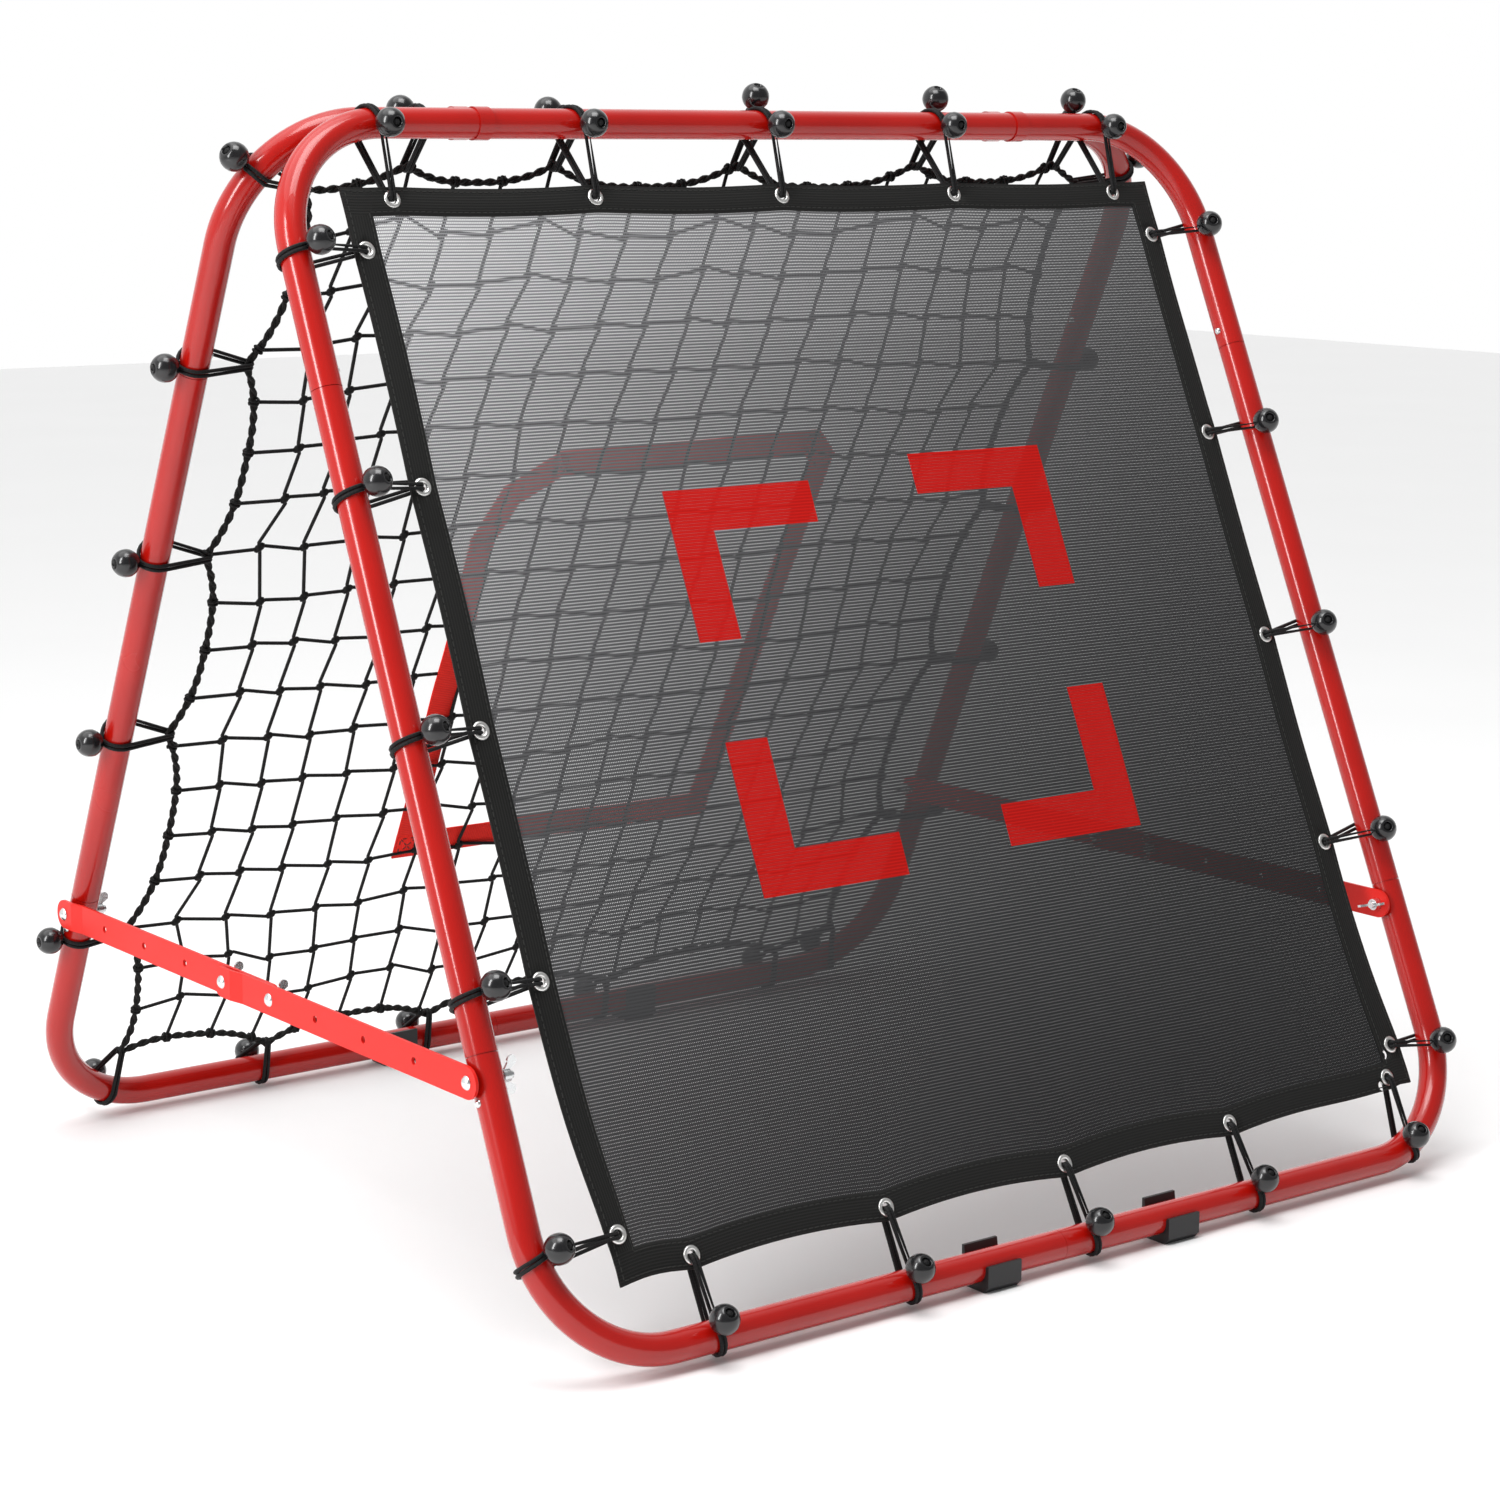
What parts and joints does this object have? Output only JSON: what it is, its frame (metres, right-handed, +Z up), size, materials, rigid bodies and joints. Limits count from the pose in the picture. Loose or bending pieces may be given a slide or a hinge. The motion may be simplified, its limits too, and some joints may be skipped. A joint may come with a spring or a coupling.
{
  "type": "pitch back rebounder",
  "caption": "Free-standing two-sided ball rebounder: two square tube frames lean together, one with a taut mesh panel and one with a knotted net.",
  "frame": {"origin": "centre of the footprint, on the floor under the top hinge", "axes": "+X to the right along the bars, +Y from the mesh side to the net side, +Z up"},
  "size_m": [1.052, 0.8936, 0.9447],
  "materials": {
    "red_powder_coat": "gloss powder coat",
    "black_plastic": "moulded satin",
    "black_nylon": "matt",
    "zinc_plate": "bright zinc plate",
    "mesh_fabric": "coated open weave",
    "hem_webbing": "ribbed woven webbing",
    "grommet_metal": "polished",
    "net_twine": "braided twine",
    "net_rope": "braided rope",
    "red_webbing": "flat woven webbing",
    "elastic_cord": "braided elastic",
    "ball_plastic": "glossy moulded"
  },
  "bodies": {
    "front_frame": {"front_top_left_tube": "red_powder_coat", "front_top_right_tube": "red_powder_coat", "front_left_tube": "red_powder_coat", "front_right_tube": "red_powder_coat", "front_bottom_left_tube": "red_powder_coat", "front_bottom_right_tube": "red_powder_coat", "front_feet": "black_plastic", "hinge_clips": "red_powder_coat", "front_post_bolts": "zinc_plate", "front_brace_spacers": "black_nylon", "rebound_panel": "mesh_fabric", "panel_hem": "hem_webbing", "panel_grommets": "grommet_metal", "front_bungee_cords": "elastic_cord", "front_bungee_balls": "ball_plastic"},
    "rear_frame": {"rear_top_left_tube": "red_powder_coat", "rear_top_right_tube": "red_powder_coat", "rear_left_tube": "red_powder_coat", "rear_right_tube": "red_powder_coat", "rear_bottom_left_tube": "red_powder_coat", "rear_bottom_right_tube": "red_powder_coat", "rear_feet": "black_plastic", "rear_post_bolts": "zinc_plate", "rear_brace_spacers": "black_nylon", "rebound_net": "net_twine", "net_border": "net_rope", "strike_zone_webbing": "red_webbing", "rear_bungee_cords": "elastic_cord", "rear_bungee_balls": "ball_plastic"},
    "left_front_brace": {"left_front_brace": "red_powder_coat", "left_brace_bolt_heads": "zinc_plate"},
    "left_rear_brace": {"left_rear_brace": "red_powder_coat", "left_brace_bolt_ends": "zinc_plate"},
    "right_front_brace": {"right_front_brace": "red_powder_coat", "right_brace_bolt_ends": "zinc_plate"},
    "right_rear_brace": {"right_rear_brace": "red_powder_coat", "right_brace_bolt_heads": "zinc_plate"},
    "left_front_wing_nut": {"left_front_wing_nut": "zinc_plate"},
    "left_rear_wing_nut": {"left_rear_wing_nut": "zinc_plate"},
    "left_brace_wing_nut_1": {"left_brace_wing_nut_1": "zinc_plate"},
    "left_brace_wing_nut_2": {"left_brace_wing_nut_2": "zinc_plate"},
    "right_front_wing_nut": {"right_front_wing_nut": "zinc_plate"},
    "right_rear_wing_nut": {"right_rear_wing_nut": "zinc_plate"},
    "right_brace_wing_nut_1": {"right_brace_wing_nut_1": "zinc_plate"},
    "right_brace_wing_nut_2": {"right_brace_wing_nut_2": "zinc_plate"},
    "front_left_upper_button": {"front_left_upper_button": "zinc_plate"},
    "front_left_lower_button": {"front_left_lower_button": "zinc_plate"},
    "front_right_upper_button": {"front_right_upper_button": "zinc_plate"},
    "front_right_lower_button": {"front_right_lower_button": "zinc_plate"},
    "rear_left_upper_button": {"rear_left_upper_button": "zinc_plate"},
    "rear_left_lower_button": {"rear_left_lower_button": "zinc_plate"},
    "rear_right_upper_button": {"rear_right_upper_button": "zinc_plate"},
    "rear_right_lower_button": {"rear_right_lower_button": "zinc_plate"}
  },
  "joints": [
    {"name": "frame_angle", "type": "hinge", "parent": "front_frame", "child": "rear_frame", "pos_m": [0, 0.0155, 0.90853], "axis": [-1, 0, 0], "range_deg": [0, 17.39]},
    {"name": "left_front_brace_swing", "type": "hinge", "parent": "front_frame", "child": "left_front_brace", "pos_m": [-0.5, -0.324, 0.21878], "axis": [-1, 0, 0], "range_deg": [0, 10]},
    {"name": "left_rear_brace_swing", "type": "hinge", "parent": "rear_frame", "child": "left_rear_brace", "pos_m": [-0.5, 0.324, 0.21878], "axis": [1, 0, 0], "range_deg": [0, 10]},
    {"name": "right_front_brace_swing", "type": "hinge", "parent": "front_frame", "child": "right_front_brace", "pos_m": [0.475, -0.324, 0.21878], "axis": [-1, 0, 0], "range_deg": [0, 10]},
    {"name": "right_rear_brace_swing", "type": "hinge", "parent": "rear_frame", "child": "right_rear_brace", "pos_m": [0.475, 0.324, 0.21878], "axis": [1, 0, 0], "range_deg": [0, 10]},
    {"name": "left_front_wing_nut_spin", "type": "hinge", "parent": "front_frame", "child": "left_front_wing_nut", "pos_m": [-0.5, -0.324, 0.21878], "axis": [1, 0, 0], "continuous": true},
    {"name": "left_rear_wing_nut_spin", "type": "hinge", "parent": "rear_frame", "child": "left_rear_wing_nut", "pos_m": [-0.5, 0.324, 0.21878], "axis": [1, 0, 0], "continuous": true},
    {"name": "left_brace_wing_nut_1_spin", "type": "hinge", "parent": "left_rear_brace", "child": "left_brace_wing_nut_1", "pos_m": [-0.5, -0.036, 0.21878], "axis": [1, 0, 0], "continuous": true},
    {"name": "left_brace_wing_nut_2_spin", "type": "hinge", "parent": "left_rear_brace", "child": "left_brace_wing_nut_2", "pos_m": [-0.5, 0.036, 0.21878], "axis": [1, 0, 0], "continuous": true},
    {"name": "right_front_wing_nut_spin", "type": "hinge", "parent": "front_frame", "child": "right_front_wing_nut", "pos_m": [0.475, -0.324, 0.21878], "axis": [1, 0, 0], "continuous": true},
    {"name": "right_rear_wing_nut_spin", "type": "hinge", "parent": "rear_frame", "child": "right_rear_wing_nut", "pos_m": [0.475, 0.324, 0.21878], "axis": [1, 0, 0], "continuous": true},
    {"name": "right_brace_wing_nut_1_spin", "type": "hinge", "parent": "right_front_brace", "child": "right_brace_wing_nut_1", "pos_m": [0.475, -0.036, 0.21878], "axis": [1, 0, 0], "continuous": true},
    {"name": "right_brace_wing_nut_2_spin", "type": "hinge", "parent": "right_front_brace", "child": "right_brace_wing_nut_2", "pos_m": [0.475, 0.036, 0.21878], "axis": [1, 0, 0], "continuous": true},
    {"name": "front_left_upper_button_press", "type": "slide", "parent": "front_frame", "child": "front_left_upper_button", "axis": [-1, 0, 0], "range_m": [0, 0.003], "stiffness_N_per_m": 800},
    {"name": "front_left_lower_button_press", "type": "slide", "parent": "front_frame", "child": "front_left_lower_button", "axis": [1, 0, 0], "range_m": [0, 0.003], "stiffness_N_per_m": 800},
    {"name": "front_right_upper_button_press", "type": "slide", "parent": "front_frame", "child": "front_right_upper_button", "axis": [1, 0, 0], "range_m": [0, 0.003], "stiffness_N_per_m": 800},
    {"name": "front_right_lower_button_press", "type": "slide", "parent": "front_frame", "child": "front_right_lower_button", "axis": [-1, 0, 0], "range_m": [0, 0.003], "stiffness_N_per_m": 800},
    {"name": "rear_left_upper_button_press", "type": "slide", "parent": "rear_frame", "child": "rear_left_upper_button", "axis": [-1, 0, 0], "range_m": [0, 0.003], "stiffness_N_per_m": 800},
    {"name": "rear_left_lower_button_press", "type": "slide", "parent": "rear_frame", "child": "rear_left_lower_button", "axis": [1, 0, 0], "range_m": [0, 0.003], "stiffness_N_per_m": 800},
    {"name": "rear_right_upper_button_press", "type": "slide", "parent": "rear_frame", "child": "rear_right_upper_button", "axis": [1, 0, 0], "range_m": [0, 0.003], "stiffness_N_per_m": 800},
    {"name": "rear_right_lower_button_press", "type": "slide", "parent": "rear_frame", "child": "rear_right_lower_button", "axis": [-1, 0, 0], "range_m": [0, 0.003], "stiffness_N_per_m": 800}
  ],
  "couplings": [
    {"joint": "left_front_brace_swing", "follows": "frame_angle", "ratio": 0.4643},
    {"joint": "left_rear_brace_swing", "follows": "frame_angle", "ratio": 0.5357},
    {"joint": "right_front_brace_swing", "follows": "frame_angle", "ratio": 0.4643},
    {"joint": "right_rear_brace_swing", "follows": "frame_angle", "ratio": 0.5357}
  ]
}
